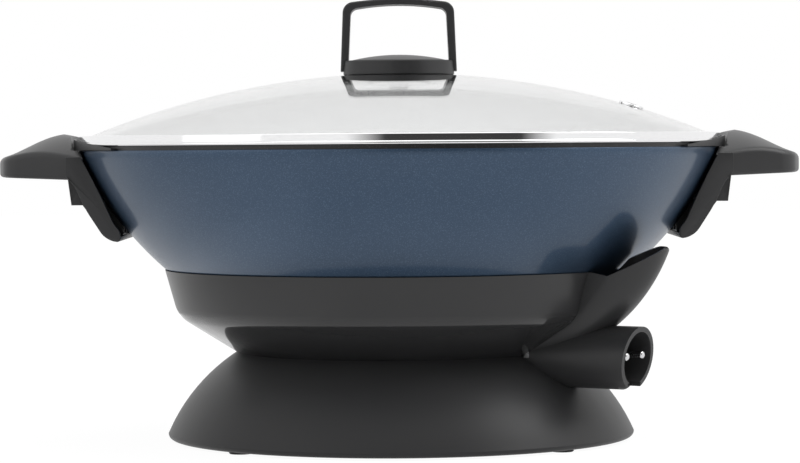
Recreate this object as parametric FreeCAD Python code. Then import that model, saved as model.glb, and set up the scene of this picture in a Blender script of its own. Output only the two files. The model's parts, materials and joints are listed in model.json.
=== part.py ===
"""Electric wok with a lift-off glass lid: every piece as its own solid, in millimetres, +Z up.

The origin is the centre of the circle that the wok stands on. +X runs through the right-hand
side handle, and -Y is the front. The probe socket leaves the base between the front and +X.
"""
import FreeCAD
import Part
import math
import os

Vec = FreeCAD.Vector
ORIGIN = Vec(0, 0, 0)
UP = Vec(0, 0, 1)

# ---- Pan ------------------------------------------------------------------------------------
rim_radius = 190.0             # outside of the enamelled rim band
rim_height = 173.7             # top of the lip that the lid rests on
lip_height = 2.5               # bare dark lip above the enamel
lip_set_in = 0.8               # how far the lip stands inside the rim band
rim_band_height = 5.0          # plain band below the lip
bowl_radius = 208.5            # outer sphere of the bowl
bowl_wall = 3.5
bowl_flat_height = 62.0        # underside of the flat bottom
stud_ring_radius = 84.0        # circle of the base screws
stud_radius = 6.0
screw_radius = 2.0             # M4 screws through the base
screw_hole_gap = 0.15          # radial gap round every screw shank

# ---- Raised ears of the lip beside the side handles --------------------------------------------
ear_gap = 0.6                  # gap between the lid's rim and an ear
ear_thickness = 2.6
ear_peak_height = 5.4          # above the lip, at the middle of an ear
ear_slope = 0.218              # fall of an ear's top edge per millimetre towards the middle

# ---- Heating element and its terminals --------------------------------------------------------
socket_axis_height = 52.0
socket_angle = -33.2           # direction of the probe socket, degrees from +X
element_height = 53.4          # middle of the element, the pins and the sensor guide
element_ring_radius = 62.0
element_tube_radius = 3.75
element_bend_radius = 12.0
element_seat_half_width = 7.0  # cast ring under the pan that holds the element
element_gap = 0.1
pin_spacing = 18.0
pin_radius = 2.3
pin_root_radius = 2.0
pin_tip_reach = 158.6          # pin tips, measured from the wok's axis
element_end_reach = 112.0
seal_length = 5.0
guide_outer_radius = 4.3       # tube that guides the probe's sensor
guide_bore_radius = 3.3
guide_start_reach = 72.0

# ---- Heat skirt -----------------------------------------------------------------------------------
skirt_top_radius = 137.7
skirt_foot_radius = 130.4      # where the wall turns under
skirt_foot_height = 74.0
skirt_corner = 2.6             # set-back of the rounded corner
skirt_wall = 2.6
pan_to_skirt_gap = 0.5
neck_radius = 96.5
neck_height = 52.0
neck_wall_radius = 93.4        # spigot of the skirt inside the foot
floor_height = 43.0            # underside of the skirt's floor
floor_thickness = 3.0

# ---- Foot ------------------------------------------------------------------------------------------
foot_radius = 137.6            # widest, just above the table
foot_edge_height = 4.2
foot_lift = 1.2                # shell's edge above the table
foot_bulge_radius = 122.2      # a point on the bell's curve
foot_bulge_height = 29.3
foot_wall = 3.0
foot_flange_width = 18.0
deck_thickness = 3.0
spigot_gap = 0.4
vent_slot_count = 8
vent_slot_width = 5.0
vent_slot_start = 38.0
vent_slot_end = 66.0
rubber_foot_count = 4
rubber_foot_radius = 6.5
rubber_foot_height = 3.6
rubber_foot_gap = 0.2
rubber_foot_chamfer = 0.5
rubber_foot_angle = 45.0

# ---- Probe housing: socket tube with the guard above it -------------------------------------------
tube_radius = 18.0
tube_wall = 3.0
tube_start_reach = 90.0
tube_mouth_reach = 159.6
mouth_rake = 9.0               # degrees; the top of the mouth overhangs
key_half_width = 7.5
key_depth = 9.0
key_floor_height = 38.2
contact_half_width = 3.0
contact_length = 20.0
contact_rise = 2.2
contact_thickness = 0.8
back_plate_reach = 124.0
back_plate_thickness = 3.0
back_plate_gap = 0.15
guard_depth = 22.0             # nose of the guard ahead of its flat flanks
guard_wall = 2.8
guard_back_reach = 75.0        # the sections run back to here, inside the skirt
guard_low_reach = 146.6        # front line of the guard: three points in reach and height
guard_low_height = 71.5
guard_mid_reach = 163.4
guard_mid_height = 88.2
guard_tip_reach = 177.8
guard_tip_height = 112.2
guard_top_height = 115.0       # level top of the guard
guard_tip_round = 2.0
guard_rim_height = 98.7        # low end of the guard's sloping rim
guard_rim_reach = 150.0
guard_rim_rise = 0.375         # rise of the sloping rim per millimetre outwards
guard_rim_tilt = 0.309         # rise of the sloping rim per millimetre across
guard_root_fall = 0.19         # fall of the flanks' top from the skirt to the low end of the rim
housing_gap = 0.3              # gap between the housing and the skirt or foot
pan_to_guard_gap = 1.0
clip_reach = 96.6              # bright clips beside the tube, where it leaves the neck
clip_length = 3.2
clip_width = 1.4
clip_low_height = 51.4
clip_high_height = 54.8
clip_gap = 0.2

# ---- Side handles ----------------------------------------------------------------------------------
handle_half_angle = 17.4       # half of the arc of the rim that a handle covers
handle_gap = 0.4               # handle to rim band and ears
wing_tip_reach = 235.4
wing_root_half_width = 57.5
wing_tip_half_width = 42.0
wing_tip_bulge = 8.0
wing_corner_radius = 16.0
wing_bottom_height = 154.4
wing_bottom_rise = 0.036       # rise of the underside per millimetre towards the tip
wing_edge_height = 166.4       # flat side wall up to here
wing_crown_height = 180.9      # top of the crown
wing_crown_reach = 198.4
wing_wall = 3.5
wing_edge_round = 4.0
wing_low_round = 2.2
bevel_fall = 0.31              # slope of the bevel inside the crown
crown_fall_straight = 0.53     # share of the crown's fall that is even along the wing
crown_fall_bent = 0.69         # share that grows towards the tip
leg_wall = 3.2
leg_end_wall = 3.0
leg_top_half_width = 56.5      # at the underside of the wing
leg_low_half_width = 45.0      # at the toe
leg_low_height = 118.8
leg_top_reach = 191.5          # outer face of the leg, from the wing down to the toe
leg_upper_reach = 186.9
leg_upper_height = 139.0
leg_lower_reach = 177.7
leg_lower_height = 126.6
leg_heel_reach = 174.0
leg_heel_height = 121.0
leg_heel_round = 5.0
end_wall_top_reach = 189.0     # inner edge of the end walls, from the wing down
end_wall_upper_reach = 181.4
end_wall_upper_height = 149.0
end_wall_lower_reach = 175.8
end_wall_lower_height = 135.2
end_wall_low_reach = 167.6
toe_reach = 163.4              # upright inner face of the toe ribs
toe_round = 2.6
toe_rib_count = 3
toe_rib_spacing = 12.0
toe_rib_thickness = 2.6
bowl_gap = 0.5                 # handle to bowl
tower_half_width = 11.0
tower_top_reach = 195.6
tower_bottom_reach = 193.2
tower_bottom_height = 139.0
handle_screw_height = 147.0
handle_boss_radius = 6.0
handle_boss_reach = 184.5
handle_screw_radius = 2.4
handle_boss_wall = 4.5         # handle material between the pan's boss and the screw's head
handle_screw_grip = 7.0        # length of the screw inside the boss
boss_gap = 0.2
screw_head_radius = 4.4
screw_head_height = 2.6

# ---- Lid ------------------------------------------------------------------------------------------
dome_radius = 477.0            # outer sphere of the glass
dome_apex_height = 215.6
glass_thickness = 3.5
glass_edge_radius = 186.2
band_radius = 189.6
band_lip_radius = 185.0        # inner edge of the band's top lip
band_thickness = 0.8
band_bead_height = 1.3         # rolled bead along the band's lower edge
band_bead_step = 0.35
band_outer_height = 3.7        # straight part of the band's outside
locating_depth = 5.2           # flange that drops inside the pan
locating_gap = 1.9
vent_radius = 138.0            # steam vent, distance from the axis
vent_angle = -12.0
vent_bore_radius = 3.6
vent_tube_radius = 5.0
vent_flange_radius = 7.4
vent_flange_height = 1.1
vent_ring_radius = 6.8
vent_ring_height = 1.4
vent_glass_gap = 0.2

# ---- Lid handle -------------------------------------------------------------------------------------
disc_low_radius = 34.4
disc_top_radius = 33.7
disc_edge_height = 222.9
disc_crown_height = 226.5
disc_crown_radius = 29.5
disc_glass_gap = 0.3
gasket_thickness = 1.0
gasket_radius = 31.0
loop_low_half_width = 34.2
loop_top_half_width = 32.6
loop_height = 259.3
loop_corner_height = 256.6
loop_corner_radius = 6.5
loop_side_bar = 4.5
loop_top_bar = 3.5
loop_window_radius = 4.5
loop_depth = 22.0
loop_bar_bottom = 216.7
loop_bar_thickness = 3.4
loop_seat_gap = 0.15
loop_edge_round = 1.2
insert_radius = 5.0
insert_height = 5.0
lid_screw_radius = 3.0
lid_screw_head_radius = 6.0
lid_screw_head_height = 3.2
lid_hole_radius = 4.4
washer_radius = 17.0
washer_thickness = 1.4
washer_dish = 0.05             # fall of the washer's underside at the edge of the screw's head
lower_gasket_radius = 18.0

# ---- Values that follow from the ones above ----------------------------------------------------
enamel_top = rim_height - lip_height
band_bottom = enamel_top - rim_band_height
bowl_centre_height = enamel_top + math.sqrt(bowl_radius ** 2 - rim_radius ** 2)
bowl_inner_radius = bowl_radius - bowl_wall
floor_top = floor_height + floor_thickness
deck_bottom = floor_height - deck_thickness
dome_centre_height = dome_apex_height - dome_radius
ear_inner_radius = band_radius + ear_gap
ear_outer_radius = ear_inner_radius + ear_thickness
screw_hole_radius = screw_radius + screw_hole_gap
fixing_angles = [socket_angle + 30 + 120 * step for step in range(3)]
stud_angles = [angle + 60 for angle in fixing_angles]


# ---- Helpers ---------------------------------------------------------------------------------------
def outline(start, *steps):
    """Closed face in the radius-height plane; a step is a corner, or the middle and end of an arc."""
    edges = []
    here = start
    for step in steps + (start,):
        if isinstance(step[0], tuple):
            middle, end = step
            edges.append(Part.Arc(on_plane(here), on_plane(middle), on_plane(end)).toShape())
        else:
            end = step
            if end != here:
                edges.append(Part.makeLine(on_plane(here), on_plane(end)))
        here = end
    return Part.Face(Part.Wire(edges))


def on_plane(place):
    return Vec(place[0], 0, place[1])


def turned(face, degrees=360.0):
    """Revolve a face round the wok's axis, centred on +X."""
    solid = face.revolve(ORIGIN, UP, degrees)
    solid.rotate(ORIGIN, UP, -degrees / 2)
    return solid


def sphere_height(centre_height, sphere_radius, radius):
    """Height of a sphere's lower half at a distance from the axis."""
    return centre_height - math.sqrt(sphere_radius ** 2 - radius ** 2)


def bowl_spot(sphere_radius, height):
    """Point of one of the bowl's spheres at a height, as radius and height."""
    return (math.sqrt(sphere_radius ** 2 - (bowl_centre_height - height) ** 2), height)


def bowl_arc(sphere_radius, first_height, last_height):
    """Middle and end of the bowl's arc between two heights."""
    middle = bowl_spot(sphere_radius, (first_height + last_height) / 2)
    return (middle, bowl_spot(sphere_radius, last_height))


def dome_height(radius, sphere_radius=dome_radius):
    return dome_centre_height + math.sqrt(sphere_radius ** 2 - radius ** 2)


def dome_arc(sphere_radius, first_radius, last_radius):
    """Middle and end of the dome's arc between two distances from the axis."""
    middle = (first_radius + last_radius) / 2
    return ((middle, dome_height(middle, sphere_radius)), (last_radius, dome_height(last_radius, sphere_radius)))


def bowl_ball(extra=0.0):
    return Part.makeSphere(bowl_radius + extra, Vec(0, 0, bowl_centre_height))


def dome_ball(extra=0.0):
    return Part.makeSphere(dome_radius + extra, Vec(0, 0, dome_centre_height))


def upright(radius, low, high, reach=0.0, angle=0.0):
    """Vertical cylinder at a distance from the axis."""
    solid = Part.makeCylinder(radius, high - low, Vec(reach, 0, low), UP)
    solid.rotate(ORIGIN, UP, angle)
    return solid


def lying(radius, near, far, height, aside=0.0):
    """Horizontal cylinder along +X."""
    return Part.makeCylinder(radius, far - near, Vec(near, aside, height), Vec(1, 0, 0))


def to_socket(solid):
    """Swing a solid made along +X to the direction of the probe socket."""
    solid.rotate(ORIGIN, UP, socket_angle)
    return solid


def prism(corners, low_y, high_y):
    """Polygon in the X-Z plane, extruded along Y."""
    wire = Part.makePolygon([Vec(x, low_y, z) for x, z in corners + corners[:1]])
    return Part.Face(wire).extrude(Vec(0, high_y - low_y, 0))


def offset_arc(start, middle, end, inset):
    """The three points of an arc moved towards its centre."""
    curve = Part.Arc(on_plane(start), on_plane(middle), on_plane(end)).toShape().Curve
    scale = (curve.Radius - inset) / curve.Radius
    moved = [curve.Center + (on_plane(place) - curve.Center) * scale for place in (start, middle, end)]
    return [(place.x, place.z) for place in moved]


def screw(shank_radius, head_radius, head_height, length):
    """Pan-head screw on the origin, pointing up, with its head below and a cross recess."""
    solid = turned(outline(
        (0, -head_height),
        (head_radius * 0.72, -head_height),
        (head_radius, -head_height * 0.5),
        (head_radius, 0),
        (shank_radius, 0),
        (shank_radius, length),
        (0, length)))
    arm = head_radius * 0.62
    for turn in (0, 90):
        bar = Part.makeBox(2 * arm, arm * 0.35, head_height * 0.5, Vec(-arm, -arm * 0.175, -head_height))
        bar.rotate(ORIGIN, UP, turn)
        solid = solid.cut(bar)
    return solid


# ---- Pan -------------------------------------------------------------------------------------------
def wok_pan():
    """Cast bowl with rim band, dark lip, ears, element seat, base studs and handle bosses."""
    lip_radius = rim_radius - lip_set_in
    floor_inside = bowl_flat_height + bowl_wall
    wall_top = band_bottom - 1.0
    bowl = turned(outline(
        (0, bowl_flat_height),
        bowl_spot(bowl_radius, bowl_flat_height),
        bowl_arc(bowl_radius, bowl_flat_height, wall_top),
        (rim_radius - 0.4, band_bottom),
        (rim_radius, band_bottom + 0.6),
        (rim_radius, enamel_top),
        (lip_radius, enamel_top),
        (lip_radius, rim_height),
        bowl_spot(bowl_inner_radius, rim_height),
        bowl_arc(bowl_inner_radius, rim_height, floor_inside),
        (0, floor_inside)))
    seat = turned(outline(
        (element_ring_radius - element_seat_half_width, element_height),
        (element_ring_radius + element_seat_half_width, element_height),
        (element_ring_radius + element_seat_half_width, bowl_flat_height + 1),
        (element_ring_radius - element_seat_half_width, bowl_flat_height + 1)))
    pan = bowl.fuse(seat).cut(element_path(element_tube_radius + element_gap))
    pan = pan.cut(to_socket(lying(guide_outer_radius + element_gap, 0, element_end_reach, element_height)))
    wall_middle = bowl_ball(-bowl_wall / 2)
    for angle in stud_angles:
        stud = upright(stud_radius, floor_top, bowl_flat_height + 20, stud_ring_radius, angle)
        pan = pan.fuse(stud.cut(wall_middle))
    for angle in stud_angles:
        pan = pan.cut(upright(screw_hole_radius, floor_top, floor_top + 14, stud_ring_radius, angle))
    for side in (0, 180):
        boss = lying(handle_boss_radius, 150, handle_boss_reach, handle_screw_height).cut(wall_middle)
        bore = lying(handle_screw_radius + screw_hole_gap, handle_boss_reach - handle_screw_grip - 1,
                     handle_boss_reach, handle_screw_height)
        boss = boss.fuse(ear()).cut(bore)
        boss.rotate(ORIGIN, UP, side)
        pan = pan.fuse(boss)
        bore.rotate(ORIGIN, UP, side)
        pan = pan.cut(bore)
    return pan.removeSplitter()


def ear():
    """Upstand of the lip beside a side handle, sloping down to both ends."""
    ring = turned(outline(
        (rim_radius - lip_set_in - 1, enamel_top),
        (ear_outer_radius, enamel_top),
        (ear_outer_radius, rim_height + ear_peak_height),
        (ear_inner_radius, rim_height + ear_peak_height),
        (ear_inner_radius, rim_height),
        (rim_radius - lip_set_in - 1, rim_height)), 70)
    peak = rim_height + ear_peak_height
    low_reach = ear_outer_radius - ear_peak_height / ear_slope
    top = prism([(low_reach, enamel_top), (ear_outer_radius + 1, enamel_top),
                 (ear_outer_radius + 1, peak + ear_slope), (low_reach, rim_height)], -120, 120)
    return ring.common(top)


# ---- Heating element ----------------------------------------------------------------------------------
def element_path(tube_radius):
    """Tube of a given radius along the element: an open ring with two ends led to the socket."""
    lead = pin_spacing / 2
    ring = element_ring_radius
    bend = element_bend_radius
    bend_aside = lead + bend
    bend_reach = math.sqrt((ring + bend) ** 2 - bend_aside ** 2)
    touch = ring / (ring + bend)
    height = element_height

    def place(x, y):
        return Vec(x, y, height)

    edges = []
    for side in (1, -1):
        toward = math.atan2(-side * bend_aside, -bend_reach)
        straight = -side * math.pi / 2
        middle_turn = (toward + straight) / 2
        if abs(toward - straight) > math.pi:
            middle_turn += math.pi
        middle = place(bend_reach + bend * math.cos(middle_turn), side * bend_aside + bend * math.sin(middle_turn))
        joint = place(bend_reach * touch, side * bend_aside * touch)
        corner = place(bend_reach, side * lead)
        end = place(element_end_reach, side * lead)
        curve = Part.Arc(joint, middle, corner).toShape()
        line = Part.makeLine(corner, end)
        edges += [curve, line]
    first = place(bend_reach * touch, bend_aside * touch)
    last = place(bend_reach * touch, -bend_aside * touch)
    edges.append(Part.Arc(first, place(-ring, 0), last).toShape())
    path = Part.Wire(Part.__sortEdges__(edges))
    start = path.OrderedVertexes[0].Point
    section = Part.Wire(Part.makeCircle(tube_radius, start, Vec(1, 0, 0)))
    tube = path.makePipeShell([section], True, True)
    return to_socket(tube)


def heating_element():
    return element_path(element_tube_radius)


def element_end_seals():
    """Ceramic beads that close the element's two ends round the pins."""
    beads = []
    for side in (1, -1):
        aside = side * pin_spacing / 2
        bead = lying(element_tube_radius, element_end_reach, element_end_reach + seal_length,
                     element_height, aside)
        bore = lying(pin_root_radius + element_gap, element_end_reach, element_end_reach + seal_length,
                     element_height, aside)
        beads.append(to_socket(bead.cut(bore)))
    return Part.makeCompound(beads)


def terminal_pins():
    """Two round pins that the control probe plugs on to, each thinner where it runs into the element."""
    shoulder = back_plate_reach + back_plate_thickness + back_plate_gap
    tip_round = pin_radius * 0.6
    diagonal = tip_round * (1 - math.sqrt(0.5))
    pins = []
    for side in (1, -1):
        pin = outline(
            (0, element_end_reach),
            (pin_root_radius, element_end_reach),
            (pin_root_radius, shoulder),
            (pin_radius, shoulder),
            (pin_radius, pin_tip_reach - tip_round),
            ((pin_radius - diagonal, pin_tip_reach - diagonal), (pin_radius - tip_round, pin_tip_reach)),
            (0, pin_tip_reach)).revolve(ORIGIN, UP, 360)
        pin.rotate(ORIGIN, Vec(0, 1, 0), 90)
        pin.translate(Vec(0, side * pin_spacing / 2, element_height))
        pins.append(to_socket(pin))
    return Part.makeCompound(pins)


def sensor_guide():
    """Steel tube between the pins that leads the probe's sensor to the pan."""
    end = back_plate_reach + back_plate_thickness + 1.5
    tube = lying(guide_outer_radius, guide_start_reach, end, element_height)
    return to_socket(tube.cut(lying(guide_bore_radius, guide_start_reach, end, element_height)))


# ---- Heat skirt --------------------------------------------------------------------------------------
def skirt_profile():
    """Outer wall, undercut cone, neck spigot and floor of the skirt, as one closed face."""
    wall = skirt_wall
    top = sphere_height(bowl_centre_height, bowl_radius + pan_to_skirt_gap, skirt_top_radius)
    cone_start = (skirt_foot_radius - skirt_corner, skirt_foot_height - skirt_corner * 0.9)
    cone_end = (neck_radius + 0.3, neck_height)
    corner = (skirt_foot_radius - skirt_corner * 0.3, skirt_foot_height - skirt_corner * 0.6)
    inner_cone_start = (cone_start[0] - wall * 0.75, cone_start[1] + wall)
    inner_cone_end = (neck_wall_radius - wall, neck_height + wall * 0.6)
    return outline(
        (0, floor_height),
        (neck_wall_radius, floor_height),
        (neck_wall_radius, neck_height),
        cone_end,
        cone_start,
        (corner, (skirt_foot_radius, skirt_foot_height)),
        (skirt_top_radius, top),
        (skirt_top_radius - wall, top - wall),
        (skirt_foot_radius - wall, skirt_foot_height),
        inner_cone_start,
        inner_cone_end,
        (neck_wall_radius - wall, floor_top),
        (0, floor_top))


def heat_skirt():
    """Bowl-shaped shell under the pan, notched for the probe housing."""
    skirt = turned(skirt_profile()).cut(bowl_ball(pan_to_skirt_gap))
    for angle in fixing_angles:
        skirt = skirt.fuse(upright(4.5, floor_top - 1, floor_top + 9, stud_ring_radius, angle))
        skirt = skirt.cut(upright(screw_hole_radius, floor_height, floor_top + 7, stud_ring_radius, angle))
    for angle in stud_angles:
        skirt = skirt.cut(upright(screw_hole_radius, floor_height, floor_top, stud_ring_radius, angle))
    skirt = skirt.cut(to_socket(guard_block(housing_gap)))
    tube = lying(tube_radius + housing_gap, tube_start_reach - 1, tube_mouth_reach + 10, socket_axis_height)
    skirt = skirt.cut(to_socket(tube))
    for side in (1, -1):
        skirt = skirt.cut(clip_block(side, clip_gap))
    return skirt


def base_screws(angles, low, length):
    """Three screws on the fixing circle, heads down."""
    screws = []
    for angle in angles:
        one = screw(screw_radius, screw_head_radius, screw_head_height, length)
        one.translate(Vec(stud_ring_radius, 0, low))
        one.rotate(ORIGIN, UP, angle)
        screws.append(one)
    return Part.makeCompound(screws)


def skirt_screws():
    return base_screws(stud_angles, floor_height, floor_thickness + 12)


def foot_screws():
    return base_screws(fixing_angles, deck_bottom, deck_thickness + floor_thickness + 6)


# ---- Foot --------------------------------------------------------------------------------------------
def foot_shell():
    """Flared bell with a deck that carries the skirt and a flange for the rubber feet."""
    bell = ((neck_radius, neck_height), (foot_bulge_radius, foot_bulge_height), (foot_radius, foot_edge_height))
    inner = offset_arc(*bell, foot_wall)
    curve = Part.Arc(*[on_plane(place) for place in inner]).toShape().Curve
    deck_radius = curve.Center.x + math.sqrt(curve.Radius ** 2 - (deck_bottom - curve.Center.z) ** 2)
    flange_top = foot_lift + foot_wall
    low_radius = curve.Center.x + math.sqrt(curve.Radius ** 2 - (flange_top - curve.Center.z) ** 2)
    mid_height = (flange_top + deck_bottom) / 2
    mid_radius = curve.Center.x + math.sqrt(curve.Radius ** 2 - (mid_height - curve.Center.z) ** 2)
    edge = foot_edge_height - foot_lift
    shell = turned(outline(
        bell[0],
        (bell[1], bell[2]),
        ((foot_radius - edge * 0.3, foot_lift + edge * 0.3), (foot_radius - edge, foot_lift)),
        (foot_radius - foot_flange_width, foot_lift),
        (foot_radius - foot_flange_width, flange_top),
        (low_radius, flange_top),
        ((mid_radius, mid_height), (deck_radius, deck_bottom)),
        (0, deck_bottom),
        (0, floor_height),
        (neck_wall_radius + spigot_gap, floor_height),
        (neck_wall_radius + spigot_gap, neck_height)))
    for angle in fixing_angles:
        shell = shell.cut(upright(screw_hole_radius, deck_bottom, floor_height, stud_ring_radius, angle))
    for angle in stud_angles:
        shell = shell.cut(upright(screw_head_radius + 1.5, deck_bottom, floor_height, stud_ring_radius, angle))
    slot_length = vent_slot_end - vent_slot_start
    for step in range(vent_slot_count):
        slot = Part.makeBox(slot_length, vent_slot_width, deck_thickness,
                            Vec(vent_slot_start, -vent_slot_width / 2, deck_bottom))
        slot.rotate(ORIGIN, UP, socket_angle + 360 * (step + 0.5) / vent_slot_count)
        shell = shell.cut(slot)
    for foot in rubber_foot_places():
        shell = shell.cut(upright(rubber_foot_radius + rubber_foot_gap, foot_lift - 1,
                                  rubber_foot_height - 1, *foot))
    tube = lying(tube_radius + housing_gap, tube_start_reach - 1, tube_mouth_reach, socket_axis_height)
    shell = shell.cut(to_socket(tube))
    for side in (1, -1):
        shell = shell.cut(clip_block(side, clip_gap))
    return shell


def rubber_foot_places():
    """Distance and angle of each rubber foot on the flange."""
    reach = foot_radius - foot_flange_width + rubber_foot_radius + 2
    step = 360 / rubber_foot_count
    return [(reach, rubber_foot_angle + step * index) for index in range(rubber_foot_count)]


def rubber_feet():
    """Rubber pads in the pockets of the flange; the wok stands on them."""
    feet = []
    for reach, angle in rubber_foot_places():
        pad = Part.makeCylinder(rubber_foot_radius, rubber_foot_height - 1, Vec(reach, 0, 0), UP)
        low = [edge for edge in pad.Edges if edge.BoundBox.ZMax < 0.1]
        pad = pad.makeChamfer(rubber_foot_chamfer, low)
        pad.rotate(ORIGIN, UP, angle)
        feet.append(pad)
    return Part.makeCompound(feet)


# ---- Probe housing -------------------------------------------------------------------------------------
def guard_reach(height):
    """How far the front line of the guard reaches at a height."""
    arc = Part.Arc(Vec(guard_low_reach, 0, guard_low_height), Vec(guard_mid_reach, 0, guard_mid_height),
                   Vec(guard_tip_reach, 0, guard_tip_height)).toShape().Curve
    return arc.Center.x + math.sqrt(arc.Radius ** 2 - (height - arc.Center.z) ** 2)


def guard_section(height, grow):
    """U-shaped level section of the guard: flat flanks and a half-ellipse nose."""
    half = tube_radius + grow
    nose = guard_reach(height) + grow
    shoulder = nose - guard_depth - grow
    back = guard_back_reach
    ellipse = Part.Ellipse(Vec(nose, 0, height), Vec(shoulder, half, height), Vec(shoulder, 0, height))
    arc = Part.Arc(ellipse, -math.pi / 2, math.pi / 2).toShape()
    right = arc.Vertexes[0].Point
    left = arc.Vertexes[-1].Point
    return Part.Wire([arc, Part.makeLine(left, Vec(back, left.y, height)),
                      Part.makeLine(Vec(back, left.y, height), Vec(back, right.y, height)),
                      Part.makeLine(Vec(back, right.y, height), right)])


def guard_block(grow, low=None):
    """The guard as a solid block, along +X; grow thickens it all round."""
    low = socket_axis_height if low is None else low
    high = guard_tip_height + 12
    count = 6
    heights = [low + (high - low) * step / (count - 1) for step in range(count)]
    sections = [guard_section(height, grow) for height in heights]
    return Part.makeLoft(sections, True, False)


def below_rim():
    """Space under the guard's top: a tilted plane that rises outwards and to the far side, then a level one."""
    half = tube_radius + 20
    back = guard_back_reach - 5
    far = guard_tip_reach + 20

    def corner(reach, aside):
        rise = guard_rim_rise * (reach - guard_rim_reach) + guard_rim_tilt * (aside + tube_radius)
        return Vec(reach, aside, guard_rim_height + rise)

    corners = [corner(back, -half), corner(far, -half), corner(far, half), corner(back, half)]
    tilted = Part.Face(Part.makePolygon(corners + corners[:1])).extrude(Vec(0, 0, -guard_top_height))
    level = Part.makeBox(far - back, 2 * half, guard_top_height, Vec(back, -half, 0))
    root = prism([(back, 0), (guard_rim_reach, 0), (guard_rim_reach, guard_rim_height),
                  (back, guard_rim_height + guard_root_fall * (guard_rim_reach - back))], -half, half)
    return tilted.fuse(root).common(level)


def probe_housing():
    """Socket tube with a raked mouth and key notch, and the scoop-shaped guard above it."""
    bore = lying(tube_radius - tube_wall, tube_start_reach - 5, tube_mouth_reach + 15, socket_axis_height)
    tube = lying(tube_radius, tube_start_reach, tube_mouth_reach + 10, socket_axis_height)
    mouth = Part.makeBox(60, 60, 80, Vec(0, -30, -40))
    mouth.rotate(ORIGIN, Vec(0, 1, 0), mouth_rake)
    mouth.translate(Vec(tube_mouth_reach, 0, socket_axis_height))
    tube = tube.cut(mouth)
    guard = guard_block(0).common(below_rim())
    tip = [edge for edge in guard.Edges if edge.BoundBox.ZMin > guard_top_height - 0.1
           and edge.BoundBox.XMax > guard_tip_reach - 8 and edge.Curve.TypeId != "Part::GeomLine"]
    guard = guard.makeFillet(guard_tip_round, tip)
    cavity_low = socket_axis_height + tube_radius + 1.0
    guard = guard.cut(guard_block(-guard_wall, cavity_low))
    skirt_side = Part.makeCylinder(tube_start_reach, 200)
    body = guard.fuse(tube)
    key = Part.makeBox(key_depth + 8, 2 * key_half_width, 10,
                       Vec(tube_mouth_reach - key_depth, -key_half_width, key_floor_height - 10))
    body = body.cut(bore).cut(key).cut(skirt_side)
    body = to_socket(body).cut(bowl_ball(pan_to_guard_gap))
    return body


def socket_back_plate():
    """Insulating plate across the tube, with holes for the pins and the sensor guide."""
    far = back_plate_reach + back_plate_thickness
    plate = lying(tube_radius - tube_wall - back_plate_gap, back_plate_reach, far, socket_axis_height)
    for side in (1, -1):
        plate = plate.cut(lying(pin_radius + back_plate_gap, back_plate_reach, far, element_height,
                                side * pin_spacing / 2))
    plate = plate.cut(lying(guide_outer_radius + back_plate_gap, back_plate_reach, far, element_height))
    return to_socket(plate)


def earth_contact():
    """Springy strip on the floor of the socket that meets the probe's earth."""
    bore_radius = tube_radius - tube_wall
    low = socket_axis_height - math.sqrt(bore_radius ** 2 - contact_half_width ** 2)
    start = back_plate_reach + back_plate_thickness + back_plate_gap
    end = start + contact_length
    strip = prism([(start, low), (end, low), (end, low + contact_thickness),
                   (end - contact_length * 0.3, low + contact_rise),
                   (start + contact_length * 0.35, low + contact_rise),
                   (start, low + contact_thickness)], -contact_half_width, contact_half_width)
    return to_socket(strip)


def clip_block(side, grow=0.0):
    """One clip beside the tube at the neck; grow makes the pocket for it."""
    aside = tube_radius - grow
    width = clip_width + 2 * grow
    clip = Part.makeBox(clip_length + 2 * grow, width, clip_high_height - clip_low_height + 2 * grow,
                        Vec(clip_reach - grow, aside if side > 0 else -aside - width, clip_low_height - grow))
    return to_socket(clip)


def probe_housing_clips():
    """Bright spring clips that hold the housing's flanks at the neck."""
    return Part.makeCompound([clip_block(side) for side in (1, -1)])


# ---- Side handles ----------------------------------------------------------------------------------------
def wing_outline(inset, height):
    """Plan of the wing: straight sides that close in to a gently bowed tip with round corners."""
    root = rim_radius - 25
    root_half = wing_root_half_width - inset
    tip_half = wing_tip_half_width - inset
    tip = wing_tip_reach - inset
    corner_reach = tip - wing_tip_bulge
    flank_start = rim_radius - 6
    corners = [Vec(root, -root_half, height), Vec(flank_start, -root_half, height),
               Vec(corner_reach, -tip_half, height)]
    right = Part.makeLine(corners[1], corners[2])
    left = Part.makeLine(Vec(corners[2].x, tip_half, height), Vec(corners[1].x, root_half, height))
    bow = Part.Arc(corners[2], Vec(tip, 0, height), Vec(corners[2].x, tip_half, height)).toShape()
    back = Part.makePolygon([Vec(flank_start, root_half, height), Vec(root, root_half, height),
                             Vec(root, -root_half, height), Vec(flank_start, -root_half, height)])
    face = Part.Face(Part.Wire([right, bow, left] + back.Edges))
    solid = face.extrude(UP * 60)
    tip_edges = [edge for edge in solid.Edges
                 if abs(edge.Length - 60) < 0.01 and edge.BoundBox.XMin > corner_reach - 0.1]
    return solid.makeFillet(wing_corner_radius - inset * 0.6, tip_edges)


def crown_height(reach):
    """Height of the crown line along the wing."""
    share = (reach - wing_crown_reach) / (wing_tip_reach - wing_crown_reach)
    fall = wing_crown_height - wing_edge_height
    return wing_crown_height - fall * (crown_fall_straight * share + crown_fall_bent * share * share)


def wing_roof(drop):
    """Block whose top is the wing's vaulted roof, lowered by drop."""
    sections = []
    half = wing_root_half_width + 1.0
    for reach in (rim_radius - 26, wing_crown_reach, 212, 225, wing_tip_reach + 4):
        low_left = Vec(reach, -half, wing_bottom_height - 10)
        low_right = Vec(reach, half, wing_bottom_height - 10)
        left = Vec(reach, -half, wing_edge_height - drop)
        right = Vec(reach, half, wing_edge_height - drop)
        crown = Vec(reach, 0, max(crown_height(reach), wing_edge_height + 0.05) - drop)
        arc = Part.Arc(right, crown, left).toShape()
        sections.append(Part.Wire([Part.makeLine(low_left, low_right), Part.makeLine(low_right, right),
                                   arc, Part.makeLine(left, low_left)]))
    return Part.makeLoft(sections, True, False)


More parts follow.
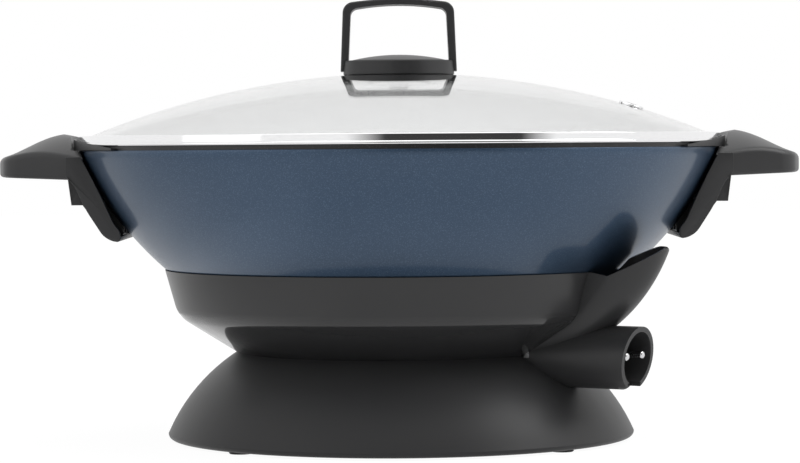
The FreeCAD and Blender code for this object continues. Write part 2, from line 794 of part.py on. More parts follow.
def side_handle():
    """Right-hand handle: vaulted wing with an open underside, and a channel-shaped leg."""
    wing = wing_outline(0, wing_bottom_height).common(wing_roof(0)).cut(under_wing())
    wing = round_wing(wing)
    hollow = wing_outline(wing_wall, wing_bottom_height - 1).common(wing_roof(wing_wall))
    hollow = hollow.cut(Part.makeCylinder(tower_top_reach + leg_wall, rim_height * 2))
    wing = wing.cut(hollow)
    tower = prism([(handle_boss_reach, wing_bottom_height + 3), (tower_top_reach, wing_bottom_height + 3),
                   (tower_bottom_reach, tower_bottom_height), (handle_boss_reach, tower_bottom_height)],
                  -tower_half_width, tower_half_width)
    body = wing.fuse(leg_block()).fuse(tower).cut(beside_pan())
    shank = lying(handle_screw_radius + screw_hole_gap, toe_reach, tower_top_reach + 5, handle_screw_height)
    pocket = lying(screw_head_radius + 1.0, handle_boss_reach + handle_boss_wall, tower_top_reach + 8,
                   handle_screw_height)
    boss = lying(handle_boss_radius + boss_gap, toe_reach - 10, handle_boss_reach, handle_screw_height)
    return body.cut(shank).cut(pocket).cut(boss)


def beside_pan():
    """Space that the handle leaves to the bowl, the rim band, the ear and the lid."""
    step = enamel_top - 0.5
    clear = rim_radius + handle_gap
    ear_clear = ear_outer_radius + handle_gap
    top_reach = ear_outer_radius + 30
    top = wing_crown_height + bevel_fall * (top_reach - wing_crown_reach)
    bevel_start = wing_crown_height - bevel_fall * (wing_crown_reach - ear_clear)
    above = turned(outline((0, band_bottom - 1), (clear, band_bottom - 1), (clear, step), (ear_clear, step),
                           (ear_clear, bevel_start), (top_reach, top), (0, top)), 120)
    return above.fuse(bowl_ball(bowl_gap).common(Part.makeCylinder(rim_radius + 20, band_bottom)))


def under_wing():
    """Space under the wing's gently rising underside."""
    start = rim_radius - 30
    end = wing_tip_reach + 10
    half = wing_root_half_width + 10
    return prism([(start, 0), (end, 0), (end, wing_bottom_height + wing_bottom_rise * (end - rim_radius)),
                  (rim_radius, wing_bottom_height), (start, wing_bottom_height)], -half, half)


def round_wing(wing):
    """Round the long edge between roof and side wall, and the lower edge."""
    top = [edge for edge in wing.Edges
           if edge.BoundBox.ZMin > wing_edge_height - 2 and edge.BoundBox.XMax > rim_radius + 10
           and edge.BoundBox.XMin > rim_radius - 12]
    wing = wing.makeFillet(wing_edge_round, top)
    low = [edge for edge in wing.Edges
           if edge.BoundBox.ZMax < wing_bottom_height + 2.5 and edge.BoundBox.XMin > rim_radius - 12]
    return wing.makeFillet(wing_low_round, low)


def leg_width(inset):
    """Space between the leg's two end faces, which close in downwards."""
    top = leg_top_half_width - inset
    low = leg_low_half_width - inset
    run = (top - low) / (wing_bottom_height - leg_low_height)
    above = top + run * 20
    below = low - run * 10
    corners = [Vec(100, -above, wing_bottom_height + 20), Vec(100, above, wing_bottom_height + 20),
               Vec(100, below, leg_low_height - 10), Vec(100, -below, leg_low_height - 10)]
    face = Part.Face(Part.makePolygon(corners + corners[:1]))
    return face.extrude(Vec(200, 0, 0))


def leg_block():
    """Leg of the handle: a channel, open towards the bowl, with end walls and ribs behind its toe."""
    top = wing_edge_height
    sweep = 50
    outer = [(leg_top_reach, top), (leg_top_reach, wing_bottom_height), (leg_upper_reach, leg_upper_height),
             (leg_lower_reach, leg_lower_height), (leg_heel_reach, leg_heel_height)]
    heel = (leg_heel_reach - leg_heel_round * 0.35, leg_low_height + leg_heel_round * 0.16)
    heel_end = (leg_heel_reach - leg_heel_round * 1.3, leg_low_height)
    toe_middle = (toe_reach + toe_round * 0.3, leg_low_height + toe_round * 0.3)
    whole = turned(outline((toe_reach, top), *outer, (heel, heel_end), (toe_reach + toe_round, leg_low_height),
                           (toe_middle, (toe_reach, leg_low_height + toe_round))), sweep)
    wall = leg_wall
    floor = leg_low_height + wall
    pocket = turned(outline((toe_reach - 5, top), (leg_top_reach - wall, top),
                            (leg_top_reach - wall, wing_bottom_height), (leg_upper_reach - wall, leg_upper_height),
                            (leg_lower_reach - wall, leg_lower_height), (leg_heel_reach - wall - 1, floor),
                            (toe_reach - 5, floor)), sweep)
    behind_ends = turned(outline((toe_reach - 5, top), (end_wall_top_reach, top),
                                 (end_wall_upper_reach, end_wall_upper_height),
                                 (end_wall_lower_reach, end_wall_lower_height),
                                 (end_wall_low_reach, leg_low_height - 1), (toe_reach - 5, leg_low_height - 1)), sweep)
    ribs = toe_rib(-(toe_rib_count - 1) / 2)
    for step in range(1, toe_rib_count):
        ribs = ribs.fuse(toe_rib(step - (toe_rib_count - 1) / 2))
    toe_half = toe_rib_spacing * (toe_rib_count - 1) / 2 + toe_rib_thickness / 2
    toe_floor = Part.makeBox(60, 2 * toe_half, wall, Vec(toe_reach - 10, -toe_half, leg_low_height))
    kept = ribs.fuse(toe_floor)
    channel = whole.common(leg_width(0)).cut(pocket.common(leg_width(leg_end_wall))).cut(behind_ends)
    return channel.fuse(whole.common(kept))


def toe_rib(place):
    """One upright rib between the toe and the underside of the handle's screw boss."""
    high = handle_screw_height - handle_boss_radius - 1
    low_side = toe_rib_spacing * place - toe_rib_thickness / 2
    return Part.makeBox(60, toe_rib_thickness, high - leg_low_height, Vec(toe_reach - 10, low_side, leg_low_height))


def handle_screw():
    """Screw that draws a handle on to the boss of the pan."""
    one = screw(handle_screw_radius, screw_head_radius, screw_head_height, handle_boss_wall + handle_screw_grip)
    one.rotate(ORIGIN, Vec(0, 1, 0), -90)
    one.translate(Vec(handle_boss_reach + handle_boss_wall, 0, handle_screw_height))
    return one


def left_of(solid):
    """The same piece on the left-hand side."""
    copy = solid.copy()
    copy.rotate(ORIGIN, UP, 180)
    return copy


# ---- Lid -----------------------------------------------------------------------------------------------
def lid_glass():
    """Domed toughened glass with a centre hole and a vent hole."""
    inner = dome_radius - glass_thickness
    glass = turned(outline(
        (lid_hole_radius, dome_height(lid_hole_radius, inner)),
        dome_arc(inner, lid_hole_radius, glass_edge_radius),
        (glass_edge_radius, dome_height(glass_edge_radius)),
        dome_arc(dome_radius, glass_edge_radius, lid_hole_radius)))
    hole = Part.makeCylinder(vent_tube_radius + vent_glass_gap, 30, Vec(0, 0, -15), UP)
    return glass.cut(on_dome(hole))


def on_dome(solid):
    """Stand a solid made on the origin on the dome at the steam vent, square to the glass."""
    lean = math.degrees(math.asin(vent_radius / dome_radius))
    solid.translate(Vec(0, 0, dome_radius))
    solid.rotate(ORIGIN, Vec(0, 1, 0), lean)
    solid.translate(Vec(0, 0, dome_centre_height))
    solid.rotate(ORIGIN, UP, vent_angle)
    return solid


def lid_rim_band():
    """Rolled steel band round the glass, with a flange that drops inside the pan."""
    lip = dome_height(band_lip_radius)
    flange_radius = bowl_spot(bowl_inner_radius, rim_height - locating_depth)[0] - locating_gap
    flange_inner = flange_radius - band_thickness
    straight_top = rim_height + band_outer_height
    shoulder = (band_radius - 1.5, dome_height(band_radius - 1.5) + band_thickness)
    bend = (band_radius - 0.5, (straight_top + shoulder[1]) / 2 + 0.2)
    band = turned(outline(
        (band_radius, rim_height),
        (band_radius, rim_height + band_bead_height),
        (band_radius - band_bead_step, rim_height + band_bead_height + band_bead_step),
        (band_radius - band_bead_step, straight_top),
        (bend, shoulder),
        (band_lip_radius, lip + band_thickness),
        (band_lip_radius - 0.5, lip + 0.3),
        (flange_inner, lip - 1),
        (flange_inner, rim_height - locating_depth),
        (flange_radius, rim_height - locating_depth),
        (flange_radius, rim_height)))
    inner = dome_radius - glass_thickness
    glass = turned(outline(
        (150, dome_height(150, inner)),
        dome_arc(inner, 150, glass_edge_radius),
        (glass_edge_radius, dome_height(glass_edge_radius)),
        dome_arc(dome_radius, glass_edge_radius, 150)))
    above = turned(outline(
        (150, dome_height(150)),
        dome_arc(dome_radius, 150, band_lip_radius - 0.6),
        (band_lip_radius - 0.6, lip + 8),
        (150, lip + 8)))
    return band.cut(glass).cut(above)


def steam_vent_eyelet():
    """Steel eyelet: a rounded flange on the glass and a tube through it."""
    flange = Part.makeCylinder(vent_flange_radius, vent_flange_height, Vec(0, 0, 0.1), UP)
    upper = [edge for edge in flange.Edges if edge.BoundBox.ZMin > vent_flange_height]
    flange = flange.makeFillet(vent_flange_height * 0.7, upper)
    depth = glass_thickness + vent_ring_height + 0.6
    tube = Part.makeCylinder(vent_tube_radius, depth + 0.2, Vec(0, 0, -depth), UP)
    bore = Part.makeCylinder(vent_bore_radius, depth + 10, Vec(0, 0, -depth - 1), UP)
    return on_dome(flange.fuse(tube).cut(bore))


def steam_vent_ring():
    """Pressed ring that clamps the eyelet from below."""
    low = -glass_thickness - 0.2 - vent_ring_height
    ring = Part.makeCylinder(vent_ring_radius, vent_ring_height, Vec(0, 0, low), UP)
    return on_dome(ring.cut(Part.makeCylinder(vent_tube_radius + 0.05, 20, Vec(0, 0, -15), UP)))


def loop_solid(grow=0.0):
    """Strap-shaped loop: sides that lean in, an arched top and a cross bar at the bottom."""
    low = loop_bar_bottom - grow
    half_low = loop_low_half_width + grow
    half_top = loop_top_half_width + grow
    shoulder = loop_corner_height + grow
    depth = loop_depth / 2 + grow
    outer = flat_loop(low, half_low, half_top, shoulder, loop_height + grow, loop_corner_radius, depth)
    window_low = loop_bar_bottom + loop_bar_thickness + grow
    window_half_low = half_low - loop_side_bar - 2 * grow
    window_half_top = half_top - loop_side_bar - 2 * grow
    window = flat_loop(window_low, window_half_low, window_half_top, loop_corner_height - loop_top_bar - grow,
                       loop_height - loop_top_bar - grow, loop_window_radius, depth + 5)
    return outer, window


def flat_loop(low, half_low, half_top, shoulder, top, corner, depth):
    """Slab with leaning sides, an arched top and rounded upper corners."""
    arc = Part.Arc(Vec(half_top, -depth, shoulder), Vec(0, -depth, top), Vec(-half_top, -depth, shoulder))
    edges = [Part.makeLine(Vec(-half_low, -depth, low), Vec(half_low, -depth, low)),
             Part.makeLine(Vec(half_low, -depth, low), Vec(half_top, -depth, shoulder)),
             arc.toShape(),
             Part.makeLine(Vec(-half_top, -depth, shoulder), Vec(-half_low, -depth, low))]
    slab = Part.Face(Part.Wire(edges)).extrude(Vec(0, 2 * depth, 0))
    corners = [edge for edge in slab.Edges
               if abs(edge.Length - 2 * depth) < 0.01 and edge.BoundBox.ZMin > shoulder - 0.1]
    return slab.makeFillet(corner, corners)


def lid_handle_loop():
    """The loop, with softened edges and a hole for the lid screw in its cross bar."""
    outer, window = loop_solid()
    rounded = [edge for edge in outer.Edges if edge.BoundBox.YLength < 0.01
               and edge.BoundBox.ZMax > loop_bar_bottom + 1]
    outer = outer.makeFillet(loop_edge_round, rounded)
    loop = outer.cut(window)
    return loop.cut(upright(lid_screw_radius + screw_hole_gap, loop_bar_bottom - 2, loop_bar_bottom + 8))


def lid_handle_disc():
    """Round cap under the loop: a sloped wall, a domed crown and a slot for the loop's cross bar."""
    low = dome_height(disc_low_radius) + disc_glass_gap
    fall = disc_crown_height - disc_edge_height
    crown_sphere = (disc_crown_radius ** 2 + fall ** 2) / (2 * fall)
    mid_radius = disc_crown_radius / 2
    mid_height = disc_crown_height - crown_sphere + math.sqrt(crown_sphere ** 2 - mid_radius ** 2)
    disc = turned(outline(
        (0, dome_apex_height - 6),
        (disc_low_radius, dome_apex_height - 6),
        (disc_low_radius, low + 0.4),
        (disc_top_radius, disc_edge_height - 0.6),
        (disc_top_radius - 0.6, disc_edge_height),
        (disc_crown_radius, disc_edge_height),
        ((mid_radius, mid_height), (0, disc_crown_height))))
    disc = disc.cut(dome_ball(disc_glass_gap))
    bed = dome_ball(gasket_thickness).common(upright(gasket_radius + 0.4, 150, 300))
    disc = disc.cut(bed)
    outer, window = loop_solid(loop_seat_gap)
    seat = outer.cut(window)
    insert_low = loop_bar_bottom + loop_bar_thickness
    pocket = upright(insert_radius, insert_low - 1, insert_low + insert_height)
    bar_space = Part.makeBox(2 * disc_low_radius, loop_depth + 2 * loop_seat_gap, 8,
                             Vec(-disc_low_radius, -loop_depth / 2 - loop_seat_gap, loop_bar_bottom - 8))
    keep = disc.cut(seat).cut(pocket).cut(bar_space)
    pieces = sorted(keep.Solids, key=lambda piece: piece.Volume)
    return pieces[-1]


def lid_handle_insert():
    """Brass thread insert in the cap."""
    low = loop_bar_bottom + loop_bar_thickness + 0.1
    insert = upright(insert_radius - 0.05, low, low + insert_height - 0.3)
    return insert.cut(upright(lid_screw_radius + 0.05, low - 1, low + insert_height - 1.0))


def lid_handle_gaskets():
    """Silicone washers above and below the glass."""
    upper = dome_ball(gasket_thickness).cut(dome_ball()).common(
        upright(gasket_radius, dome_apex_height - 6, dome_apex_height + 2))
    inner = -glass_thickness
    lower = dome_ball(inner).cut(dome_ball(inner - gasket_thickness)).common(
        upright(lower_gasket_radius, dome_apex_height - 8, dome_apex_height + 2))
    hole = upright(lid_hole_radius, 150, 300)
    return Part.makeCompound([upper.cut(hole), lower.cut(hole)])


def lid_handle_washer():
    """Dished steel washer that spreads the screw's load under the glass."""
    top = dome_ball(-glass_thickness - gasket_thickness)
    low = dome_ball(-glass_thickness - gasket_thickness - washer_thickness)
    disc = top.cut(low).common(upright(washer_radius, dome_apex_height - 12, dome_apex_height + 2))
    return disc.cut(upright(lid_screw_radius + screw_hole_gap, 150, 300))


def lid_handle_screw():
    """Screw up through washer, glass and loop into the insert."""
    seat = dome_apex_height - glass_thickness - gasket_thickness - washer_thickness - washer_dish
    reach = loop_bar_bottom + loop_bar_thickness + insert_height - 2 - seat
    one = screw(lid_screw_radius, lid_screw_head_radius, lid_screw_head_height, reach)
    one.translate(Vec(0, 0, seat))
    return one


# ---- Write every piece -----------------------------------------------------------------------------------
def main():
    os.makedirs("parts", exist_ok=True)
    right_handle = side_handle()
    right_screw = handle_screw()
    pieces = {
        "wok_pan": wok_pan(),
        "heating_element": heating_element(),
        "element_end_seals": element_end_seals(),
        "terminal_pins": terminal_pins(),
        "sensor_guide": sensor_guide(),
        "heat_skirt": heat_skirt(),
        "skirt_screws": skirt_screws(),
        "probe_housing": probe_housing(),
        "probe_housing_clips": probe_housing_clips(),
        "socket_back_plate": socket_back_plate(),
        "earth_contact": earth_contact(),
        "foot_shell": foot_shell(),
        "foot_screws": foot_screws(),
        "rubber_feet": rubber_feet(),
        "handle_right": right_handle,
        "handle_left": left_of(right_handle),
        "handle_screw_right": right_screw,
        "handle_screw_left": left_of(right_screw),
        "lid_glass": lid_glass(),
        "lid_rim_band": lid_rim_band(),
        "steam_vent_eyelet": steam_vent_eyelet(),
        "steam_vent_ring": steam_vent_ring(),
        "lid_handle_loop": lid_handle_loop(),
        "lid_handle_disc": lid_handle_disc(),
        "lid_handle_insert": lid_handle_insert(),
        "lid_handle_gaskets": lid_handle_gaskets(),
        "lid_handle_washer": lid_handle_washer(),
        "lid_handle_screw": lid_handle_screw(),
    }
    for name, shape in pieces.items():
        shape.exportStep(os.path.join("parts", name + ".step"))
        box = shape.BoundBox
        print("%-20s solids %d valid %s volume %9.0f  x %.1f %.1f  y %.1f %.1f  z %.1f %.1f" % (
            name, len(shape.Solids), shape.isValid(), shape.Volume,
            box.XMin, box.XMax, box.YMin, box.YMax, box.ZMin, box.ZMax))


main()
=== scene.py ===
# %% [markdown]
# # Electric wok with a lift-off glass lid
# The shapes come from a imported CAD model, in metres, with the wok standing on the floor at the
# origin. +X runs through the right-hand side handle and -Y is the front. This lesson gives every
# piece its finish, makes five finer shells, lights the wok like a product on a white table, and sets
# up the camera. The CAD pieces are solid and already carry smooth normals, so most of them need no
# new mesh, only a good material.

# %% Load the frame
import json
import math

import bmesh
import bpy
from mathutils import Matrix, Vector


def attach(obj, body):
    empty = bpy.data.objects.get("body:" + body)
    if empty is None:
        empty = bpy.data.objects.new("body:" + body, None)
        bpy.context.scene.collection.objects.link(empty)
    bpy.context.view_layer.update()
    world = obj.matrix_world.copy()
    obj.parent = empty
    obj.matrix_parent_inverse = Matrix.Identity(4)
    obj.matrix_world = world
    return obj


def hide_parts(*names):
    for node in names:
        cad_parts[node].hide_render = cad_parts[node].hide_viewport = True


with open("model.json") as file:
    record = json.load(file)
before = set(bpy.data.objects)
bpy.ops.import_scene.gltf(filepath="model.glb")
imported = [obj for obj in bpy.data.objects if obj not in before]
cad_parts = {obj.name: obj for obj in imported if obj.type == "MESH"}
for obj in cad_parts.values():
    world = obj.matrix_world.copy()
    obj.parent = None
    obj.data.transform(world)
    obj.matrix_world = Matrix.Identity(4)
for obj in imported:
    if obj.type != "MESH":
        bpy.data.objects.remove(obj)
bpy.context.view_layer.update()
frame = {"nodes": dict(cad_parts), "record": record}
nodes = frame["nodes"]
MM = 0.001

# %% [markdown]
# ## Camera
# A product shot like this is taken from far away with a long lens, so that circles stay calm and the
# two handles look alike. The camera stands 1.78 m from the wok's axis, at the height of the bowl's
# rim, and looks down a little, which opens the circles of the base and leaves the rim a nearly
# straight line. Two Euler angles aim it: the pitch, and a roll that leaves the horizon 0.4 degrees off
# level, as in most hand-levelled shots.

# %% Camera
CAMERA_DISTANCE = 1.776
CAMERA_HEIGHT = 0.172
CAMERA_ASIDE = 0.0004
PITCH = math.radians(1.613)
ROLL = math.radians(0.4)
LENS = 135.0
SENSOR_WIDTH = 36.0

camera = bpy.data.objects.new("camera", bpy.data.cameras.new("camera"))
camera.data.lens = LENS
camera.data.sensor_width = SENSOR_WIDTH
camera.location = (CAMERA_ASIDE, -CAMERA_DISTANCE, CAMERA_HEIGHT)
camera.rotation_euler = (math.pi / 2 - PITCH, ROLL, 0.0)
bpy.context.scene.collection.objects.link(camera)
bpy.context.scene.camera = camera
print("camera at", tuple(camera.location), "lens", camera.data.lens)

# %% [markdown]
# ## Writing materials as sums
# A procedural material is a small calculation: a noise here, a threshold there, a mix of two colours.
# Placing nodes one by one hides that. `Wire` wraps one output socket and gives it Python's
# operators, so `1 - mask * 0.5` adds the Math nodes by itself. `Finish` owns one material, and its
# `node` method makes any other node from its type, its settings and what goes into its sockets.
# What is the same all over a piece is set straight on the shader.

# %% Wire and Finish
class Wire:
    """An output socket that can be added, multiplied and compared."""

    def __init__(self, finish, socket):
        self.finish = finish
        self.socket = socket

    def maths(self, operation, *others):
        inputs = dict(enumerate((self,) + others))
        return self.finish.node("ShaderNodeMath", {"operation": operation}, inputs)

    def __add__(self, other):
        return self.maths("ADD", other)

    def __mul__(self, other):
        return self.maths("MULTIPLY", other)

    def __sub__(self, other):
        return self.maths("SUBTRACT", other)

    def __rsub__(self, other):
        return self.finish.node("ShaderNodeMath", {"operation": "SUBTRACT"}, {0: other, 1: self})

    __radd__ = __add__
    __rmul__ = __mul__

    def clamped(self):
        """Held between 0 and 1."""
        return self.maths("MINIMUM", 1.0).maths("MAXIMUM", 0.0)

    def above(self, level, softness):
        """0 below a level and 1 above it, with a soft step."""
        return self.finish.node(
            "ShaderNodeMapRange",
            {"interpolation_type": "SMOOTHSTEP"},
            {"Value": self, "From Min": level - softness / 2, "From Max": level + softness / 2})

    def below(self, level, softness):
        return 1 - self.above(level, softness)


class Finish:
    """One material with a Principled shader."""

    def __init__(self, name):
        self.material = bpy.data.materials.new(name)
        self.material.use_nodes = True
        self.tree = self.material.node_tree
        self.shader = self.tree.nodes["Principled BSDF"]
        self.place = self.node("ShaderNodeTexCoord", {}, {}, "Object")

    def node(self, kind, settings, inputs, output=0):
        """Make a node: settings first, then values or wires for its sockets."""
        made = self.tree.nodes.new(kind)
        for name, value in settings.items():
            setattr(made, name, value)
        for name, value in inputs.items():
            self.plug(made.inputs[name], value)
        return Wire(self, made.outputs[output])

    def plug(self, socket, value):
        """Put a wire, a colour or a number into a socket."""
        if isinstance(value, Wire):
            self.tree.links.new(value.socket, socket)
        elif isinstance(value, tuple) and len(value) == 3 and socket.type == "RGBA":
            socket.default_value = (*value, 1.0)
        else:
            socket.default_value = value

    def split(self, vector):
        """The three numbers of a vector."""
        parts = self.node("ShaderNodeSeparateXYZ", {}, {0: vector})
        return [Wire(self, socket) for socket in parts.socket.node.outputs]

    def rays(self):
        """Camera, mirror and glass rays: each wire is 1 for its own kind of ray and 0 for others."""
        outputs = self.node("ShaderNodeLightPath", {}, {}).socket.node.outputs
        kinds = ("Is Camera Ray", "Is Glossy Ray", "Is Transmission Ray")
        return [Wire(self, outputs[kind]) for kind in kinds]

    def noise(self, size, detail, vector=None, roughness=0.5):
        """Soft noise whose blobs are about size metres across, from 0 to 1."""
        settings = {"Scale": 1 / size, "Detail": detail, "Roughness": roughness}
        return self.node("ShaderNodeTexNoise", {}, {"Vector": vector or self.place, **settings})

    def cells(self, size):
        """One random colour for each cell of about size metres."""
        return self.node("ShaderNodeTexVoronoi", {}, {"Vector": self.place, "Scale": 1 / size}, "Color")

    def mix(self, share, first, second):
        """Colour mix; a share of 1 gives the second. Sockets 6 and 7 and output 2 are the colours."""
        return self.node("ShaderNodeMix", {"data_type": "RGBA"}, {0: share, 6: first, 7: second}, 2)

    def bump(self, height, depth, strength):
        inputs = {"Height": height, "Distance": depth, "Strength": strength}
        return self.node("ShaderNodeBump", {}, inputs)

    def surface(self, **inputs):
        """Set the shader's sockets; base_color stands for Base Color."""
        for name, value in inputs.items():
            label = name.replace("_", " ").title().replace("Ior", "IOR")
            self.plug(self.shader.inputs[label], value)
        print(self.material.name, "nodes:", len(self.tree.nodes))
        return self.material


finishes = {}

# %% [markdown]
# ## Enamel, lip and non-stick lining
# The bowl is one casting with three finishes: a metallic blue enamel outside, a bare dark lip, and a
# dark non-stick lining inside. Separate meshes would be one way, but they would leave seams. Here one
# material asks where a point lies: nearer to the bowl's sphere centre than the middle of the wall is
# inside, and above the enamel's edge is the lip. The fleck is a cell texture, of which only the
# cells with a high random value shine.

# %% Enamel
ENAMEL_TOP = 0.1712
BOWL_CENTRE = (0.0, 0.0, 0.25706)
WALL_MIDDLE = 0.20675
FLOOR_MIDDLE = 0.0637
EDGE_BLEND = 0.0001
FLECK_SIZE = 0.00038
FLECK_FROM, FLECK_BLEND = 0.84, 0.12
SPECK_SIZE = 0.0009
SPECK_FROM, SPECK_BLEND = 0.66, 0.05


def pan_finish():
    finish = Finish("pan_enamel")
    _, _, height = finish.split(finish.place)
    from_centre = finish.node(
        "ShaderNodeVectorMath", {"operation": "DISTANCE"}, {0: finish.place, 1: BOWL_CENTRE}, "Value")
    lip = height.above(ENAMEL_TOP, EDGE_BLEND)
    inside = from_centre.below(WALL_MIDDLE, EDGE_BLEND) * height.above(FLOOR_MIDDLE, EDGE_BLEND)
    bare = lip.maths("MAXIMUM", inside)
    fleck_value, _, _ = finish.split(finish.cells(FLECK_SIZE))
    fleck = fleck_value.above(FLECK_FROM, FLECK_BLEND)
    cloud = finish.noise(0.03, 3.0)
    blue = finish.mix(cloud, (0.038, 0.070, 0.121), (0.045, 0.080, 0.136))
    blue = finish.mix(fleck * 0.28, blue, (0.15, 0.22, 0.31))
    speck = finish.noise(SPECK_SIZE, 1.0).above(SPECK_FROM, SPECK_BLEND)
    lining = finish.mix(speck * 0.5, (0.010, 0.010, 0.011), (0.06, 0.06, 0.066))
    grain = finish.noise(0.0006, 2.0)
    return finish.surface(
        base_color=finish.mix(bare, blue, lining),
        metallic=(1 - bare) * 0.8,
        roughness=0.46 + fleck * 0.06 - bare * 0.08,
        coat_weight=(1 - bare) * 0.42,
        coat_roughness=0.12,
        normal=finish.bump(grain, 0.00002, 0.25))


finishes["pan_enamel"] = pan_finish()

# %% [markdown]
# ## Black resin
# Side handles, socket, lid handle and foot are glass-filled resin from a mould with a fine spark
# texture. Pure black would swallow every shape, and the real thing isn't black either: it is a very
# dark grey with a soft sheen. A fine noise gives the moulded grain through Bump, and a broad one
# lets the roughness drift a little. The foot is a little duller than the handles.

# %% Resin
RESIN_GREY = (0.034, 0.034, 0.035)
RESIN_GRAIN = 0.0006
RESIN_DEPTH = 0.00003


def resin_finish(name, roughness, gloss):
    finish = Finish(name)
    drift = finish.noise(0.04, 2.0)
    grain = finish.noise(RESIN_GRAIN, 3.0, roughness=0.6)
    darker, lighter = (tuple(c * factor for c in RESIN_GREY) for factor in (0.92, 1.08))
    return finish.surface(
        base_color=finish.mix(drift, darker, lighter),
        roughness=roughness - 0.03 + drift * 0.06,
        specular_ior_level=gloss,
        normal=finish.bump(grain, RESIN_DEPTH, 0.5))


finishes["foot_black"] = resin_finish("foot_black", 0.42, 0.24)
finishes["handle_black"] = resin_finish("handle_black", 0.40, 0.36)

# %% [markdown]
# ## Painted skirt
# The heat skirt under the bowl has two glosses: its upright wall is satin, and its undercut is smooth
# enough to mirror the foot and the table. Two materials would show a seam, so the roughness changes
# with height instead.

# %% Skirt
SATIN_FROM = 0.0755


def skirt_finish():
    finish = Finish("skirt_black")
    drift = finish.noise(0.05, 2.0)
    peel = finish.noise(0.0025, 1.0)
    _, _, height = finish.split(finish.place)
    wall = height.above(SATIN_FROM, 0.002)
    return finish.surface(
        base_color=finish.mix(drift, (0.030, 0.030, 0.031), (0.036, 0.036, 0.037)),
        roughness=0.06 + drift * 0.03 + wall * 0.22,
        specular_ior_level=0.4,
        normal=finish.bump(peel, 0.00001, 0.1))


finishes["skirt_black"] = skirt_finish()

# %% [markdown]
# ## Glass
# Toughened glass 3.5 mm thick. Real refraction through a closed solid looks right from every side,
# because both faces are there. The tint is very weak, and a trace of roughness stands for the film
# that any lid has after it has been wiped.

# %% Glass
def glass_finish():
    finish = Finish("lid_glass")
    film = finish.noise(0.05, 3.0)
    return finish.surface(
        base_color=(0.985, 0.99, 0.99),
        transmission_weight=1.0,
        ior=1.5,
        roughness=0.003 + film * 0.008)


finishes["lid_glass"] = glass_finish()

# %% [markdown]
# ## Metals
# The lid's band and the vent are polished steel: a low roughness with faint lines that run round the
# lid, made by a noise that is stretched in one direction. Screws, pins and clips are plainer steel,
# and the heating element's sheath is dulled by heat.

# %% Steel
def band_finish():
    finish = Finish("lid_steel")
    east, north, height = finish.split(finish.place)
    angle = north.maths("ARCTAN2", east)
    around = finish.node("ShaderNodeCombineXYZ", {}, {0: angle * 0.02, 1: height, 2: 0.0})
    lines = finish.noise(0.0005, 3.0, vector=around)
    return finish.surface(
        base_color=finish.mix(lines, (0.80, 0.80, 0.81), (0.90, 0.90, 0.90)),
        metallic=1.0,
        roughness=0.05 + lines * 0.04)


def metal_finish(name, dark, light, roughness, grain_size):
    finish = Finish(name)
    grain = finish.noise(grain_size, 3.0)
    return finish.surface(
        base_color=finish.mix(grain, dark, light),
        metallic=1.0,
        roughness=roughness - 0.04 + grain * 0.08,
        normal=finish.bump(grain, 0.00001, 0.3))


# Darkest colour, lightest colour, roughness and size of the grain in metres.
METALS = {
    "plain_steel": ((0.62, 0.62, 0.63), (0.78, 0.78, 0.79), 0.22, 0.0008),
    "element_steel": ((0.26, 0.25, 0.23), (0.42, 0.40, 0.37), 0.45, 0.003),
    "insert_brass": ((0.58, 0.42, 0.16), (0.70, 0.52, 0.22), 0.3, 0.0008),
}
finishes["lid_steel"] = band_finish()
for name, recipe in METALS.items():
    finishes[name] = metal_finish(name, *recipe)

# %% [markdown]
# ## Small parts
# Ceramic beads, the phenolic plate, rubber feet and silicone washers are matt. Each gets its own
# grain, so that none of them is a flat colour from close by.

# %% Matt finishes
def matt_finish(name, dark, light, roughness, grain_size, depth):
    finish = Finish(name)
    grain = finish.noise(grain_size, 3.0, roughness=0.6)
    return finish.surface(
        base_color=finish.mix(grain, dark, light),
        roughness=roughness,
        normal=finish.bump(grain, depth, 0.4))


# Darkest colour, lightest colour, roughness, and size and depth of the grain in metres.
MATT_PARTS = {
    "ceramic": ((0.70, 0.68, 0.62), (0.78, 0.76, 0.71), 0.5, 0.0005, 0.00003),
    "insulator": ((0.015, 0.013, 0.012), (0.03, 0.027, 0.024), 0.55, 0.0012, 0.00003),
    "foot_rubber": ((0.012, 0.012, 0.012), (0.02, 0.02, 0.02), 0.75, 0.0007, 0.00004),
    "silicone": ((0.03, 0.03, 0.03), (0.045, 0.045, 0.045), 0.6, 0.001, 0.00002),
}
for name, recipe in MATT_PARTS.items():
    finishes[name] = matt_finish(name, *recipe)
print("finishes:", len(finishes))

# %% [markdown]
# ## Dress the pieces
# The record names a material slot for each node. Looking the slot up there keeps the two files in
# step: a node added in CAD gets the finish of its slot without a change here.

# %% Dress the pieces
for part in frame["record"]["subparts"]:
    piece = nodes[part["node"]]
    for slot in piece.material_slots:
        slot.material = finishes[part["material_slot"]]

# %% [markdown]
# ## Tools for new shells
# Some pieces need finer shapes than the CAD solids have: the pan's rim, the lid's band, the skirt's
# bend and the legs of the side handles. Most of them are turned, so a lathe suits them: `profile`
# lays a wire in the X-Z plane and rounds its corners with a vertex bevel, and `turn` spins it.
# A Screw modifier would do the same, but the operator leaves a plain mesh at once. `place` makes the
# object, marks edges over 30 degrees as sharp, and lets it stand for its CAD node. The shells' sizes
# are in millimetres, and a reach is a distance from the wok's axis.

# %% Lathe and placing
TURN_STEPS = 240
ROUND_STEPS = 5
MERGE_DISTANCE = 0.000001
SHARP_ANGLE = math.radians(30)


